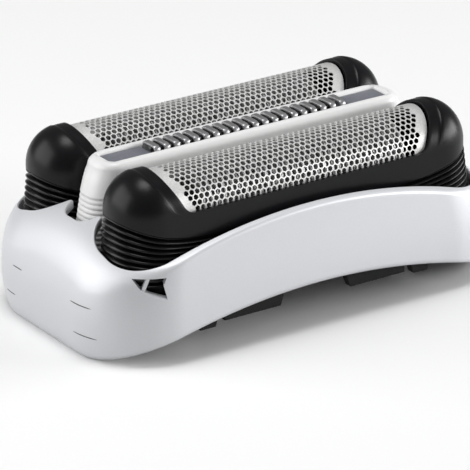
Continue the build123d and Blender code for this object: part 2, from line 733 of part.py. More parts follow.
# Trimmer inserts and springs, one of each at both ends.
for end, hand in (("left", -1), ("right", 1)):
    with BuildPart() as trimmer_insert:
        with BuildSketch(Plane.XY.offset(trimmer_top_z - slot_depth)):
            with Locations((hand * (slot_half_length + trimmer_cavity_half_length) / 2, 0)):
                Rectangle(
                    slot_half_length - trimmer_cavity_half_length - 2 * insert_gap,
                    2 * (slot_half_width - insert_gap),
                )
        extrude(amount=insert_height)
    save(trimmer_insert, f"{end}_trimmer_insert")

    rise = slider_z - bar_top_z - 2 * (spring_wire + insert_gap)
    with BuildPart() as trimmer_spring:
        with BuildLine() as coil:
            Helix(
                pitch=rise / spring_turns,
                height=rise,
                radius=trimmer_spring_radius,
                center=(hand * spring_x, 0, bar_top_z + spring_wire + insert_gap),
            )
        with BuildSketch(Plane(origin=coil.line @ 0, z_dir=coil.line % 0)):
            Circle(spring_wire)
        sweep(path=coil.line, is_frenet=True)
    save(trimmer_spring, f"trimmer_{end}_spring")
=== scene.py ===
import bmesh
import bpy
import math
from mathutils import Matrix, Vector
from mathutils.geometry import delaunay_2d_cdt


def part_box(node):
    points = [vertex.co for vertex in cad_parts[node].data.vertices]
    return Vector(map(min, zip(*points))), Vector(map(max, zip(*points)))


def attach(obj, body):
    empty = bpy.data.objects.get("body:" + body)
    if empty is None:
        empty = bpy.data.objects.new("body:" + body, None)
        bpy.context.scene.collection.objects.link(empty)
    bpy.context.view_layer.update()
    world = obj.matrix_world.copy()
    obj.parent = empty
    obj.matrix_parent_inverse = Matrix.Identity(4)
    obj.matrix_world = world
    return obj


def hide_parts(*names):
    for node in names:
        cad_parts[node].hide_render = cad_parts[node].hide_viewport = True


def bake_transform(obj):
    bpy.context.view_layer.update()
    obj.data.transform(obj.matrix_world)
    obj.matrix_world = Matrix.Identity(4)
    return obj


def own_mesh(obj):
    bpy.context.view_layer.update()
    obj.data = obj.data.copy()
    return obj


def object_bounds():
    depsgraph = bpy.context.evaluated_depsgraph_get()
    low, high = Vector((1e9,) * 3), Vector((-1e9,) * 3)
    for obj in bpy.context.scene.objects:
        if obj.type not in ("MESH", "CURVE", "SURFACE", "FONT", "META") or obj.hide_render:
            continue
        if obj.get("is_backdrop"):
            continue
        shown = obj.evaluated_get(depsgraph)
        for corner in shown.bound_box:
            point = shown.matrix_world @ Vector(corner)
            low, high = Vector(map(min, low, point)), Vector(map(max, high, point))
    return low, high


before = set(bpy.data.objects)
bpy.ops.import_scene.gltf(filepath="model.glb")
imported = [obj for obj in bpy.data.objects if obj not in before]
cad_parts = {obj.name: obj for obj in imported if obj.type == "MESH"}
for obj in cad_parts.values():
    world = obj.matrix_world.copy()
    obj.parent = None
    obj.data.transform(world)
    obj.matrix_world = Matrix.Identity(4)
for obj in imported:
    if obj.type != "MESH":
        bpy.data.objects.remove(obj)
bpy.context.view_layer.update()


# Chassis, keeper plate and drive bridge: the inner mechanism, injection moulded in black plastic.
# The keeper is staked to the chassis below the bridge, which slides between the two. From the side
# only the chassis's feet show, so the solids stay as they are and get the fine grain of the moulding.
mm = 0.001
grain_detail = 3
grain_stops = (0.3, 0.7)
grain_strength = 0.5


def new_material(name, colour, roughness, metallic=0.0, specular=0.5):
    material = bpy.data.materials.new(name)
    material.use_nodes = True
    shader = material.node_tree.nodes["Principled BSDF"]
    shader.inputs["Base Color"].default_value = (*colour, 1)
    shader.inputs["Roughness"].default_value = roughness
    shader.inputs["Metallic"].default_value = metallic
    shader.inputs["Specular IOR Level"].default_value = specular
    return material


def grained(name, colour, roughness, grain_mm, shades, polish, lift_mm, stretch=(1, 1, 1), **finish):
    """A material with a fine noise in its colour, between two shades, its roughness and its surface."""
    material = new_material(name, colour, roughness, **finish)
    tree = material.node_tree
    shader = tree.nodes["Principled BSDF"]
    place = tree.nodes.new("ShaderNodeTexCoord")
    stretched = tree.nodes.new("ShaderNodeMapping")
    stretched.inputs["Scale"].default_value = stretch
    noise = tree.nodes.new("ShaderNodeTexNoise")
    noise.inputs["Scale"].default_value = 1 / (grain_mm * mm)
    noise.inputs["Detail"].default_value = grain_detail
    tint = tree.nodes.new("ShaderNodeValToRGB")
    for stop, position, shade in zip(tint.color_ramp.elements, grain_stops, shades):
        stop.position = position
        stop.color = (*shade, 1)
    rough = tree.nodes.new("ShaderNodeMapRange")
    rough.inputs["To Min"].default_value = polish[0]
    rough.inputs["To Max"].default_value = polish[1]
    bump = tree.nodes.new("ShaderNodeBump")
    bump.inputs["Strength"].default_value = grain_strength
    bump.inputs["Distance"].default_value = lift_mm * mm
    tree.links.new(place.outputs["Object"], stretched.inputs["Vector"])
    tree.links.new(stretched.outputs["Vector"], noise.inputs["Vector"])
    for user, taken, given, target in (
        (tint, "Fac", "Color", "Base Color"),
        (rough, "Value", "Result", "Roughness"),
        (bump, "Height", "Normal", "Normal"),
    ):
        tree.links.new(noise.outputs["Fac"], user.inputs[taken])
        tree.links.new(user.outputs[given], shader.inputs[target])
    return material


def dress(node, material):
    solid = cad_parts[node]
    solid.data.materials.clear()
    solid.data.materials.append(material)


moulded_black = grained(
    "moulded_black", (0.005, 0.005, 0.005), roughness=0.5, specular=0.2, grain_mm=0.25,
    shades=((0.004, 0.004, 0.004), (0.007, 0.007, 0.007)), polish=(0.42, 0.58), lift_mm=0.01,
)
for inner in ("chassis", "keeper_plate", "drive_bridge"):
    dress(inner, moulded_black)


# Springs: coils of drawn steel wire with closed ends, two under each cutter and two under the trimmer.
# Each stands on a peg of the drive bridge; here the coils ride with the drive at their rest length.
wire_radius = 0.2
spring_turns = 4.0
closed_turns = 0.75
pitch_ease = 0.15
steps_per_turn = 24
wire_sides = 10
foil_travel = 2.0
trimmer_travel = 1.5


def new_object(name, shape):
    """An object in the scene made of a bmesh, which is used up."""
    bmesh.ops.recalc_face_normals(shape, faces=shape.faces)
    mesh = bpy.data.meshes.new(name)
    shape.to_mesh(mesh)
    shape.free()
    made = bpy.data.objects.new(name, mesh)
    bpy.context.scene.collection.objects.link(made)
    return made


def smooth_piece(name, shape, material, body, nodes, sharp_angle=40):
    """A piece made of a bmesh, shaded smooth up to an angle. It rides on its body, if it is given one."""
    piece = new_object(name, shape)
    piece.data.polygons.foreach_set("use_smooth", [True] * len(piece.data.polygons))
    piece.data.set_sharp_from_angle(angle=math.radians(sharp_angle))
    piece.data.materials.append(material)
    if body:
        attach(piece, body)
    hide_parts(*nodes)
    return piece


def skin(shape, loops, wrap=False):
    """Joins loops of equally many points with quads, and joins the last to the first if wrapped."""
    rows = [[shape.verts.new(point) for point in loop] for loop in loops]
    pairs = list(zip(rows, rows[1:]))
    if wrap:
        pairs.append((rows[-1], rows[0]))
    for low, high in pairs:
        for k in range(len(low)):
            shape.faces.new((low[k - 1], low[k], high[k], high[k - 1]))
    return rows


def rod(shape, loops):
    """Joins loops like a skin and closes the first and the last one."""
    rows = skin(shape, loops)
    shape.faces.new(rows[0])
    shape.faces.new(rows[-1])


def coil(shape, centre, radius, low, high):
    """A wire wound about an upright axis between two heights, with its first and last turns flat."""
    turns = spring_turns + 2 * closed_turns
    steps = int(turns * steps_per_turn)
    rings = []
    for step in range(steps + 1):
        turn = turns * step / steps
        active = min(max((turn - closed_turns) / spring_turns, 0), 1)
        ease = active - math.sin(2 * math.pi * active) / (2 * math.pi) * pitch_ease
        angle = 2 * math.pi * turn
        outward = Vector((math.cos(angle), math.sin(angle), 0))
        height = low + wire_radius * mm + (high - low - 2 * wire_radius * mm) * ease
        middle = Vector((centre[0], centre[1], height)) + outward * radius * mm
        ring = []
        for side in range(wire_sides):
            lean = 2 * math.pi * side / wire_sides
            reach = outward * math.cos(lean) + Vector((0, 0, math.sin(lean)))
            ring.append(middle + reach * wire_radius * mm)
        rings.append(ring)
    rod(shape, rings)


spring_steel = grained(
    "spring_steel", (0.46, 0.46, 0.47), roughness=0.32, metallic=1.0, grain_mm=0.15,
    shades=((0.40, 0.40, 0.41), (0.52, 0.52, 0.53)), polish=(0.26, 0.40), lift_mm=0.004,
)
springs = (
    ("front", "front_foil_float", 1.3, foil_travel),
    ("rear", "rear_foil_float", 1.3, foil_travel),
    ("trimmer", "trimmer_float", 0.95, trimmer_travel),
)
for row_name, joint, coil_radius, travel in springs:
    for end in ("left", "right"):
        node = f"{row_name}_{end}_spring"
        low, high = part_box(node)
        wire = bmesh.new()
        coil(wire, (low + high) / 2, coil_radius, low.z, high.z)
        spring = smooth_piece(f"{node}_coil", wire, spring_steel, "drive", [node])
        seat = (0, 0, low.z)
        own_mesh(spring)


# Cutters: a moulded block that the drive post pushes to and fro, with a row of arched blades on top.
# The blades are thin stamped steel lamellae, set close together so that they shear along the foil.
lamella_count = 29
lamella_pitch = 1.08
lamella_thickness = 0.24
lamella_band = 1.6
arch_steps = 24


def lamella(shape, x, row, low_z, axis_z, radius):
    """A thin arched band across a row, on two straight legs."""
    half = lamella_thickness * mm / 2
    inner = radius - lamella_band * mm
    profile = [(-radius, low_z, -inner, low_z)]
    for step in range(arch_steps + 1):
        angle = math.pi * (1 - step / arch_steps)
        across = math.cos(angle)
        up = math.sin(angle)
        profile.append((radius * across, axis_z + radius * up, inner * across, axis_z + inner * up))
    profile.append((radius, low_z, inner, low_z))
    loops = []
    for outer_y, outer_z, inner_y, inner_z in profile:
        loops.append([
            (x - half, row + outer_y, outer_z),
            (x + half, row + outer_y, outer_z),
            (x + half, row + inner_y, inner_z),
            (x - half, row + inner_y, inner_z),
        ])
    rod(shape, loops)


ground_steel = grained(
    "ground_steel", (0.56, 0.56, 0.56), roughness=0.34, metallic=0.6, grain_mm=0.12,
    shades=((0.50, 0.50, 0.50), (0.62, 0.62, 0.62)), polish=(0.28, 0.42), lift_mm=0.003, stretch=(1, 6, 1),
)
for side in ("front", "rear"):
    dress(f"{side}_cutter_carrier", moulded_black)
    node = f"{side}_cutter_blades"
    low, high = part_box(node)
    row = (low.y + high.y) / 2
    blade_radius = (high.y - low.y) / 2
    blades = bmesh.new()
    for k in range(lamella_count):
        x = (k - (lamella_count - 1) / 2) * lamella_pitch * mm
        lamella(blades, x, row, low.z, high.z - blade_radius, blade_radius)
    smooth_piece(f"{side}_lamellae", blades, ground_steel, f"{side}_cutter", [node])


# Foil bellows: a black rubber skirt under each foil cap, moulded in round pleats that flare downwards.
# Its foot stands on the chassis deck, and its top edge follows the cap's rim, which rises at both ends.
cap_half_length = 26.4
cap_half_width = 5.4
cap_end_round = 5.0
rim_z = 15.2
rim_flat_half_length = 14.0
rim_rise = 3.0
rim_gap = 0.1
bellows_flare = 0.7
bellows_wall = 0.35
pleat_count = 9
pleat_depth = 0.4
steps_per_pleat = 12
foot_corner = 5.5


def rim_height(x):
    """The height of a cap's rim: level along the middle, then an arc up to each end."""
    reach = cap_half_length - rim_flat_half_length
    radius = (reach**2 + rim_rise**2) / (2 * rim_rise)
    beyond = min(max(abs(x) - rim_flat_half_length, 0), reach)
    return rim_z + radius - math.sqrt(radius**2 - beyond**2)


def rounded_loop(half_length, half_width, corner, z, long_steps=60, short_steps=8, corner_steps=14):
    """A rounded rectangle about the origin as points, all in millimetres, with the same count at any size."""
    inner_x = half_length - corner
    inner_y = half_width - corner
    points = []
    for quarter, (sign_x, sign_y) in enumerate(((1, 1), (-1, 1), (-1, -1), (1, -1))):
        for step in range(corner_steps + 1):
            angle = (quarter + step / corner_steps) * math.pi / 2
            points.append(
                (sign_x * inner_x + corner * math.cos(angle), sign_y * inner_y + corner * math.sin(angle), z)
            )
        run = 2 * (inner_x if quarter % 2 == 0 else inner_y)
        steps = long_steps if quarter % 2 == 0 else short_steps
        start = points[-1]
        along = (quarter + 2) * math.pi / 2
        for step in range(1, steps):
            part = run * step / steps
            points.append((start[0] + part * math.cos(along), start[1] + part * math.sin(along), z))
    return points


def placed(loop, row=0.0):
    """A loop in millimetres, in metres, on a row."""
    return [(x * mm, y * mm + row, z * mm) for x, y, z in loop]


def pleated(foot_z, top_at, pleats, depth, size_at):
    """Loops of a pleated wall from its foot up to its top edge; size_at gives its plan on the way."""
    loops = []
    steps = pleats * steps_per_pleat
    for step in range(steps + 1):
        share = step / steps
        fold = depth * (1 - abs(math.cos(math.pi * pleats * share)))
        half_length, half_width, corner = size_at(share)
        plan = rounded_loop(half_length - fold, half_width - fold, corner - fold / 2, 0)
        loops.append([(x, y, foot_z + (top_at(x) - foot_z) * share) for x, y, _ in plan])
    return loops


def bellows_size(share):
    """The skirt's plan at a share of its height, flared at its foot."""
    grow = bellows_flare * (1 - share)
    corner = foot_corner + (cap_end_round - foot_corner) * share
    return cap_half_length + grow, cap_half_width + grow, corner


def bellows_top(x):
    return rim_height(x) - rim_gap


black_rubber = grained(
    "black_rubber", (0.003, 0.003, 0.003), roughness=0.22, specular=0.3, grain_mm=0.4,
    shades=((0.002, 0.002, 0.002), (0.004, 0.004, 0.004)), polish=(0.18, 0.27), lift_mm=0.003,
)
for side in ("front", "rear"):
    node = f"{side}_bellows"
    low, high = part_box(node)
    row = (low.y + high.y) / 2
    foot_z = low.z / mm
    outer = pleated(foot_z, bellows_top, pleat_count, pleat_depth, bellows_size)
    inset = pleat_depth + bellows_wall
    bore = rounded_loop(cap_half_length - inset, cap_half_width - inset, cap_end_round - inset, foot_z)
    bore_top = [(x, y, bellows_top(x)) for x, y, _ in bore]
    rubber = bmesh.new()
    skin(rubber, [placed(loop, row) for loop in (*outer, bore_top, bore)], wrap=True)
    bellows = smooth_piece(f"{side}_rubber_skirt", rubber, black_rubber, None, [node])
    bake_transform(bellows)


# Foil caps: a long black cap over each cutter, moulded in one piece with domed ends, a window that
# leans out at its ends, a skirt inside the bellows and two hooked legs that hold it under the deck.
arch_z = 18.4
window_sill = 0.3
window_sill_half_length = 18.1
window_top_half_length = 20.6
window_corner = 1.8
window_slope = (window_top_half_length - window_sill_half_length) / (cap_half_width - window_sill)
cap_shell = 0.55
cap_edge_round = 0.2
bezel_width = 1.6
bezel_step = 0.2
bezel_depth = 0.1
bezel_fade = 3.5
skirt_inset = 1.05
skirt_z = 12.35
leg_x = 19.2
leg_half_width = 2.2
leg_thickness = 1.2
hook_z = 6.85
hook_height = 1.8
hook_reach = 0.8
leg_round = 0.15
hook_round = 0.2
block_segments = 2
edge_segments = 3
edge_angle = 50
wall_rows = 5
corner_rows = 12
corner_rows_end = 30
corner_rows_power = 1.5
crest_rows = 16
bezel_rows = 4
dome_rows = 16
sill_columns = 80
height_tolerance = 1e-9
merge_distance = 0.001


def window_end(height):
    """The window's half length at a height above the arch's axis, with its lower corners rounded."""
    lean = math.atan(window_slope)
    centre_x = window_sill_half_length + window_slope * window_corner - window_corner / math.cos(lean)
    centre_height = window_sill + window_corner
    if height <= window_sill:
        return centre_x
    if height < centre_height - window_corner * math.sin(lean):
        return centre_x + math.sqrt(max(window_corner**2 - (height - centre_height)**2, 0))
    return window_sill_half_length + window_slope * (height - window_sill)


def half_section():
    """Heights and lateral shares of the cap's section, from the rim up to just below the crest."""
    wall = [((rim_z - arch_z) * (1 - step / wall_rows), 1.0) for step in range(wall_rows)]
    sill_angle = math.asin(window_sill / cap_half_width)
    turned = math.radians(corner_rows_end)
    angles = [0, sill_angle / 2]
    for step in range(corner_rows):
        angles.append(sill_angle + (turned - sill_angle) * (step / corner_rows) ** corner_rows_power)
    angles += [turned + (math.pi / 2 - turned) * step / crest_rows for step in range(crest_rows)]
    return wall + [(cap_half_width * math.sin(angle), math.cos(angle)) for angle in angles]


def cap_point(x, radius, height, lateral, row):
    """A point of the cap: on a straight wall below the axis, down to the rim, and on the arch above it."""
    if height < 0:
        lift = height * (arch_z - rim_height(x)) / (arch_z - rim_z)
    else:
        lift = radius * height / cap_half_width
    return (x * mm, row + radius * lateral * mm, (arch_z + lift) * mm)


def net(shape, lines):
    """Joins open lines of equally many points with quads."""
    rows = [[shape.verts.new(point) for point in line] for line in lines]
    for left, right in zip(rows, rows[1:]):
        for k in range(len(left) - 1):
            shape.faces.new((left[k], left[k + 1], right[k + 1], right[k]))
    return rows


def cap_shell_shape(row):
    """The cap's outside as an open sheet: both ends beyond the window, and the walls below its sills."""
    half = half_section()
    section = [(height, -lateral) for height, lateral in half]
    section += [(cap_half_width, 0.0)]
    section += [(height, lateral) for height, lateral in reversed(half)]
    straight_end = cap_half_length - cap_end_round
    shell = bmesh.new()
    for hand in (-1, 1):
        columns = []
        for height, lateral in section:
            start = window_end(height)
            straight = straight_end - start
            length = straight + cap_end_round * math.pi / 2
            stops = [bezel_width * step / bezel_rows for step in range(bezel_rows)]
            stops += [bezel_width + bezel_step * step / bezel_rows for step in range(bezel_rows + 1)]
            beyond = bezel_width + bezel_step
            stops += [beyond + (length - beyond) * step / dome_rows for step in range(1, dome_rows + 1)]
            column = []
            for stop in stops:
                angle = max(stop - straight, 0) / cap_end_round
                x = start + min(stop, straight) + cap_end_round * math.sin(angle)
                radius = cap_half_width - cap_end_round * (1 - math.cos(angle))
                risen = min(max((stop - bezel_width) / bezel_step, 0), 1)
                sunk = bezel_depth * min(max((height - window_sill) / bezel_fade, 0), 1)
                radius -= sunk * (1 - risen)
                column.append(cap_point(hand * x, radius, height, lateral, row))
            columns.append(column)
        strands = net(shell, columns)
        shell.faces.new([strand[-1] for strand in strands])
    low_section = [entry for entry in half if entry[0] <= window_sill + height_tolerance]
    sill_end = window_end(window_sill)
    along = [sill_end * (2 * step / sill_columns - 1) for step in range(sill_columns + 1)]
    for hand in (-1, 1):
        net(shell, [
            [cap_point(x, cap_half_width, height, hand * lateral, row) for x in along]
            for height, lateral in low_section
        ])
    bmesh.ops.remove_doubles(shell, verts=shell.verts, dist=merge_distance * mm)
    return shell


def modified(solid, *helpers):
    """A bmesh of an object as its modifiers leave it. The object and its helpers are removed."""
    shaped = solid.evaluated_get(bpy.context.evaluated_depsgraph_get())
    mesh = bpy.data.meshes.new_from_object(shaped)
    result = bmesh.new()
    result.from_mesh(mesh)
    bpy.data.meshes.remove(mesh)
    for used in (solid, *helpers):
        mesh = used.data
        bpy.data.objects.remove(used)
        bpy.data.meshes.remove(mesh)
    return result


def thickened(shape, thickness, edge_round):
    """A closed shell of an open one, grown inwards, with its edges rounded."""
    shell = new_object("shell", shape)
    wall = shell.modifiers.new("wall", "SOLIDIFY")
    wall.thickness = thickness * mm
    wall.offset = -1
    wall.use_even_offset = True
    edge = shell.modifiers.new("edge", "BEVEL")
    edge.width = edge_round * mm
    edge.segments = edge_segments
    edge.limit_method = "ANGLE"
    edge.angle_limit = math.radians(edge_angle)
    return modified(shell)


def add_block(shape, low, high, edge_round, row=0.0):
    """A box between two corners in millimetres, with rounded edges."""
    corners = bmesh.ops.create_cube(shape, size=1)["verts"]
    for corner in corners:
        corner.co = Vector(
            [(b if share > 0 else a) * mm for share, a, b in zip(corner.co, low, high)]
        ) + Vector((0, row, 0))
    edges = list({edge for corner in corners for edge in corner.link_edges})
    offset = edge_round * mm
    bmesh.ops.bevel(shape, geom=edges, offset=offset, segments=block_segments, profile=0.5, affect="EDGES")


def add_legs(shape, x, half_width, top_z, row=0.0):
    """A leg at each end that reaches down through the deck, with a hook that points outwards."""
    for hand in (-1, 1):
        leg = sorted((hand * (x - leg_thickness / 2), hand * (x + leg_thickness / 2)))
        add_block(shape, (leg[0], -half_width, hook_z), (leg[1], half_width, top_z), leg_round, row)
        hook = sorted((hand * x, hand * (x + leg_thickness / 2 + hook_reach)))
        hook_high = (hook[1], half_width, hook_z + hook_height)
        add_block(shape, (hook[0], -half_width, hook_z), hook_high, hook_round, row)


cap_black = grained(
    "cap_black", (0.003, 0.003, 0.004), roughness=0.30, specular=0.24, grain_mm=0.18,
    shades=((0.002, 0.002, 0.003), (0.004, 0.004, 0.005)), polish=(0.29, 0.35), lift_mm=0.003,
)
for side in ("front", "rear"):
    node = f"{side}_foil_carrier"
    low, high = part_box(node)
    row = (low.y + high.y) / 2
    cap = thickened(cap_shell_shape(row), cap_shell, cap_edge_round)
    skirt_outer = (cap_half_length - skirt_inset, cap_half_width - skirt_inset, cap_end_round - skirt_inset)
    skirt_inner = [size - cap_shell for size in skirt_outer]
    outer_foot = rounded_loop(*skirt_outer, skirt_z)
    inner_foot = rounded_loop(*skirt_inner, skirt_z)
    outer_top = [(x, y, rim_height(x) + cap_shell) for x, y, _ in outer_foot]
    inner_top = [(x, y, rim_height(x) + cap_shell) for x, y, _ in inner_foot]
    skirt = (outer_top, outer_foot, inner_foot, inner_top)
    skin(cap, [placed(loop, row) for loop in skirt], wrap=True)
    add_legs(cap, leg_x, leg_half_width, rim_z, row)
    smooth_piece(f"{side}_cap", cap, cap_black, f"{side}_foil_unit", [node])


# Foils: electroformed nickel-steel sheet, about a tenth of a millimetre thick, bent over the cutter
# with its long edges tucked into the cap. Six-sided holes in staggered rows take the hair in, and a
# plain strip is left along each leaning end.
foil_radius = 4.85
foil_sheet = 0.12
foil_gap = 0.1
foil_tuck = 1.0
hole_pitch = 0.82
hole_across = 0.64
hole_corner_turn = 5
hole_corner_reach = 0.98
plain_strip = 1.1
edge_step = 0.45
keep_inside = 1
flat_tolerance = 1e-6


def foil_end(arc):
    """Half the sheet's length at a place along its arc, just short of the window's leaning end."""
    height = foil_radius * math.sin(arc / foil_radius)
    return window_sill_half_length - foil_gap + window_slope * max(height - window_sill, 0)


def foil_outline():
    """The sheet laid flat, along X and along its arc, with points close enough to bend it."""
    top = math.pi * foil_radius + foil_tuck
    steps = round((top + foil_tuck) / edge_step)
    arcs = [-foil_tuck + (top + foil_tuck) * step / steps for step in range(steps + 1)]
    across = round(2 * window_sill_half_length / edge_step)
    low_end = foil_end(arcs[0])
    outline = [(foil_end(arc), arc) for arc in arcs]
    outline += [(low_end * (1 - 2 * step / across), arcs[-1]) for step in range(1, across)]
    outline += [(-foil_end(arc), arc) for arc in reversed(arcs)]
    outline += [(low_end * (2 * step / across - 1), arcs[0]) for step in range(1, across)]
    return outline


def foil_holes():
    """The middles of the holes on the flat sheet, every second row shifted by half a pitch."""
    rise = hole_pitch * math.sqrt(3) / 2
    middle = math.pi * foil_radius / 2
    rows = int(middle / rise)
    holes = []
    for line in range(-rows, rows + 1):
        arc = middle + line * rise
        shift = hole_pitch / 2 if line % 2 else 0
        reach = foil_end(arc) - plain_strip - hole_across / 2
        count = int((reach - shift) / hole_pitch)
        for k in range(-count - (1 if shift else 0), count + 1):
            holes.append((k * hole_pitch + shift, arc))
    return holes


def hole_rim(x, arc):
    """A six-sided hole with its corners cut off, as twelve points."""
    reach = hole_across / math.sqrt(3) * hole_corner_reach
    rim = []
    for corner in (30, 90, 150, 210, 270, 330):
        for turn in (-hole_corner_turn, hole_corner_turn):
            angle = math.radians(corner + turn)
            rim.append((x + reach * math.cos(angle), arc + reach * math.sin(angle)))
    return rim


def foil_shape(row):
    """The sheet with its holes, meshed flat and then bent over the arch on a row."""
    outline = foil_outline()
    points = list(outline)
    edges = [(k, (k + 1) % len(outline)) for k in range(len(outline))]
    owner = [-1] * len(outline)
    for number, centre in enumerate(foil_holes()):
        first = len(points)
        rim = hole_rim(*centre)
        points += rim
        edges += [(first + k, first + (k + 1) % len(rim)) for k in range(len(rim))]
        owner += [number] * len(rim)
    spots = [Vector(point) for point in points]
    flat, _, faces, sources, _, _ = delaunay_2d_cdt(spots, edges, [], keep_inside, flat_tolerance)
    sheet = bmesh.new()
    bent = []
    for x, arc in flat:
        turned = min(max(arc / foil_radius, 0), math.pi)
        below = min(arc, 0) + min(math.pi * foil_radius - arc, 0)
        across = -foil_radius * math.cos(turned)
        up = foil_radius * math.sin(turned) + below
        bent.append(sheet.verts.new((x * mm, row + across * mm, (arch_z + up) * mm)))
    for face in faces:
        owners = {owner[sources[k][0]] for k in face}
        if len(owners) > 1 or -1 in owners:
            sheet.faces.new([bent[k] for k in face])
    return sheet


foil_steel = grained(
    "foil_steel", (0.74, 0.74, 0.73), roughness=0.44, metallic=0.45, grain_mm=0.2,
    shades=((0.66, 0.66, 0.65), (0.82, 0.82, 0.81)), polish=(0.38, 0.52), lift_mm=0.006,
)
for side in ("front", "rear"):
    node = f"{side}_foil"
    low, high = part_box(node)
    row = (low.y + high.y) / 2
    sheet = foil_shape(row)
    bmesh.ops.recalc_face_normals(sheet, faces=sheet.faces)
    bmesh.ops.solidify(sheet, geom=sheet.faces, thickness=foil_sheet * mm)
    smooth_piece(f"{side}_foil_sheet", sheet, foil_steel, f"{side}_foil_unit", [node])


# Trimmer bellows: a thin white rubber skirt in fine pleats, between the deck and the centre bar.
# It leans in a little towards the top and closes the gap between the two foil caps.
trimmer_foot_half_length = 25.9
trimmer_rim_half_length = 24.3
trimmer_skirt_half_width = 3.1
trimmer_pleats = 12
trimmer_pleat_depth = 0.1
trimmer_round_share = 0.85


def trimmer_size(share):
    """The skirt's plan at a share of its height, a little shorter at its top."""
    half_length = trimmer_foot_half_length + (trimmer_rim_half_length - trimmer_foot_half_length) * share
    return half_length, trimmer_skirt_half_width, trimmer_skirt_half_width * trimmer_round_share


white_rubber = grained(
    "white_rubber", (0.80, 0.80, 0.795), roughness=0.45, specular=0.4, grain_mm=0.5,
    shades=((0.785, 0.785, 0.78), (0.815, 0.815, 0.81)), polish=(0.38, 0.52), lift_mm=0.004,
)
node = "trimmer_bellows"
low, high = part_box(node)
outer = pleated(low.z / mm, lambda x: high.z / mm, trimmer_pleats, trimmer_pleat_depth, trimmer_size)
inset = trimmer_pleat_depth + bellows_wall
bore = [size - inset for size in trimmer_size(1)]
inner = [rounded_loop(*bore, high.z / mm), rounded_loop(*bore, low.z / mm)]
rubber = bmesh.new()
skin(rubber, [placed(loop) for loop in outer + inner], wrap=True)
bellows = smooth_piece("trimmer_rubber_skirt", rubber, white_rubber, "frame", [node])
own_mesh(bellows)


# Trimmer bar: the white centre bar, moulded with a slot along its top for the cutting parts.
# Two hooked legs hold it under the deck, and a skirt runs down inside the pleats.
bar_levels = ((17.92, 24.3, 3.2), (19.2, 23.93, 3.2), (20.4, 23.5, 3.2), (21.2, 23.1, 3.17))
bar_top_z = 22.3
bar_top_half_length = 21.85
bar_top_half_width = 2.4
bar_edge_steps = 8
slot_half_length = 21.2
slot_half_width = 1.68
slot_corner = 0.25
slot_lip = 0.5
slot_depth = 1.5
bar_skirt_inset = 1.0
bar_skirt_half_width = 1.9
bar_skirt_wall = 0.4
bar_skirt_bore_share = 0.6
bar_skirt_overlap = 0.2
bar_skirt_z = 11.85
bar_leg_x = 19.4
bar_leg_half_width = 1.5
bar_leg_overlap = 1.0

gloss_white = grained(
    "gloss_white", (0.85, 0.85, 0.845), roughness=0.30, grain_mm=0.6,
    shades=((0.84, 0.84, 0.835), (0.86, 0.86, 0.855)), polish=(0.26, 0.36), lift_mm=0.003,
)
bar_outside = list(bar_levels)
shoulder_z, shoulder_half_length, shoulder_half_width = bar_levels[-1]
for step in range(1, bar_edge_steps + 1):
    angle = math.pi / 2 * step / bar_edge_steps
    half_length = bar_top_half_length + (shoulder_half_length - bar_top_half_length) * math.cos(angle)
    half_width = bar_top_half_width + (shoulder_half_width - bar_top_half_width) * math.cos(angle)
    bar_outside.append((shoulder_z + (bar_top_z - shoulder_z) * math.sin(angle), half_length, half_width))
bar_loops = []
for z, half_length, half_width in bar_outside:
    bar_loops.append(rounded_loop(half_length, half_width, half_width * trimmer_round_share, z))
for step in range(bar_edge_steps + 1):
    angle = math.pi / 2 * step / bar_edge_steps
    spread = slot_lip * (1 - math.sin(angle))
    lip_z = bar_top_z - slot_lip * (1 - math.cos(angle))
    lip = (slot_half_length + spread, slot_half_width + spread, slot_corner + spread)
    bar_loops.append(rounded_loop(*lip, lip_z))
bar_loops.append(rounded_loop(slot_half_length, slot_half_width, slot_corner, bar_top_z - slot_depth))
bar = bmesh.new()
rod(bar, [placed(loop) for loop in bar_loops])
bar_foot_z, bar_foot_half_length, _ = bar_levels[0]
skirt_top_z = bar_foot_z + bar_skirt_overlap
skirt_half_length = bar_foot_half_length - bar_skirt_inset
skirt_outer = (skirt_half_length, bar_skirt_half_width, bar_skirt_half_width * trimmer_round_share)
skirt_inner = (
    skirt_half_length - bar_skirt_wall,
    bar_skirt_half_width - bar_skirt_wall,
    bar_skirt_half_width * bar_skirt_bore_share,
)
bar_skirt = [rounded_loop(*skirt_outer, z) for z in (skirt_top_z, bar_skirt_z)]
bar_skirt += [rounded_loop(*skirt_inner, z) for z in (bar_skirt_z, skirt_top_z)]
skin(bar, [placed(loop) for loop in bar_skirt], wrap=True)
add_legs(bar, bar_leg_x, bar_leg_half_width, bar_skirt_z + bar_leg_overlap)
smooth_piece("trimmer_bar", bar, gloss_white, "trimmer_unit", ["trimmer_holder"])


# Trimmer comb, blade and slider: a slotted guard comb of bent steel over a toothed blade, which a
# plastic slider moves to and fro. Each guard bar is rounded over, so that it rides on the skin.
comb_half_length = 14.8
comb_half_width = 1.66
comb_sheet = 0.3
comb_top_z = 22.75
comb_leg = 2.3
comb_bars = 20
comb_pitch = 1.5
comb_gap = 0.66
comb_slot_depth = 1.5
comb_edge_round = 0.14
comb_edge_share = 0.3
comb_rail_overlap = 0.05
comb_rail_round = 0.05
bar_bend = 0.7
bend_steps = 8

comb_steel = grained(
    "comb_steel", (0.40, 0.40, 0.41), roughness=0.34, metallic=0.8, grain_mm=0.2,
    shades=((0.30, 0.30, 0.31), (0.50, 0.50, 0.51)), polish=(0.28, 0.42), lift_mm=0.006, stretch=(1, 4, 1),
)
blade_steel = grained(
    "blade_steel", (0.04, 0.04, 0.042), roughness=0.5, metallic=0.6, grain_mm=0.2,
    shades=((0.03, 0.03, 0.032), (0.05, 0.05, 0.052)), polish=(0.45, 0.55), lift_mm=0.004,
)


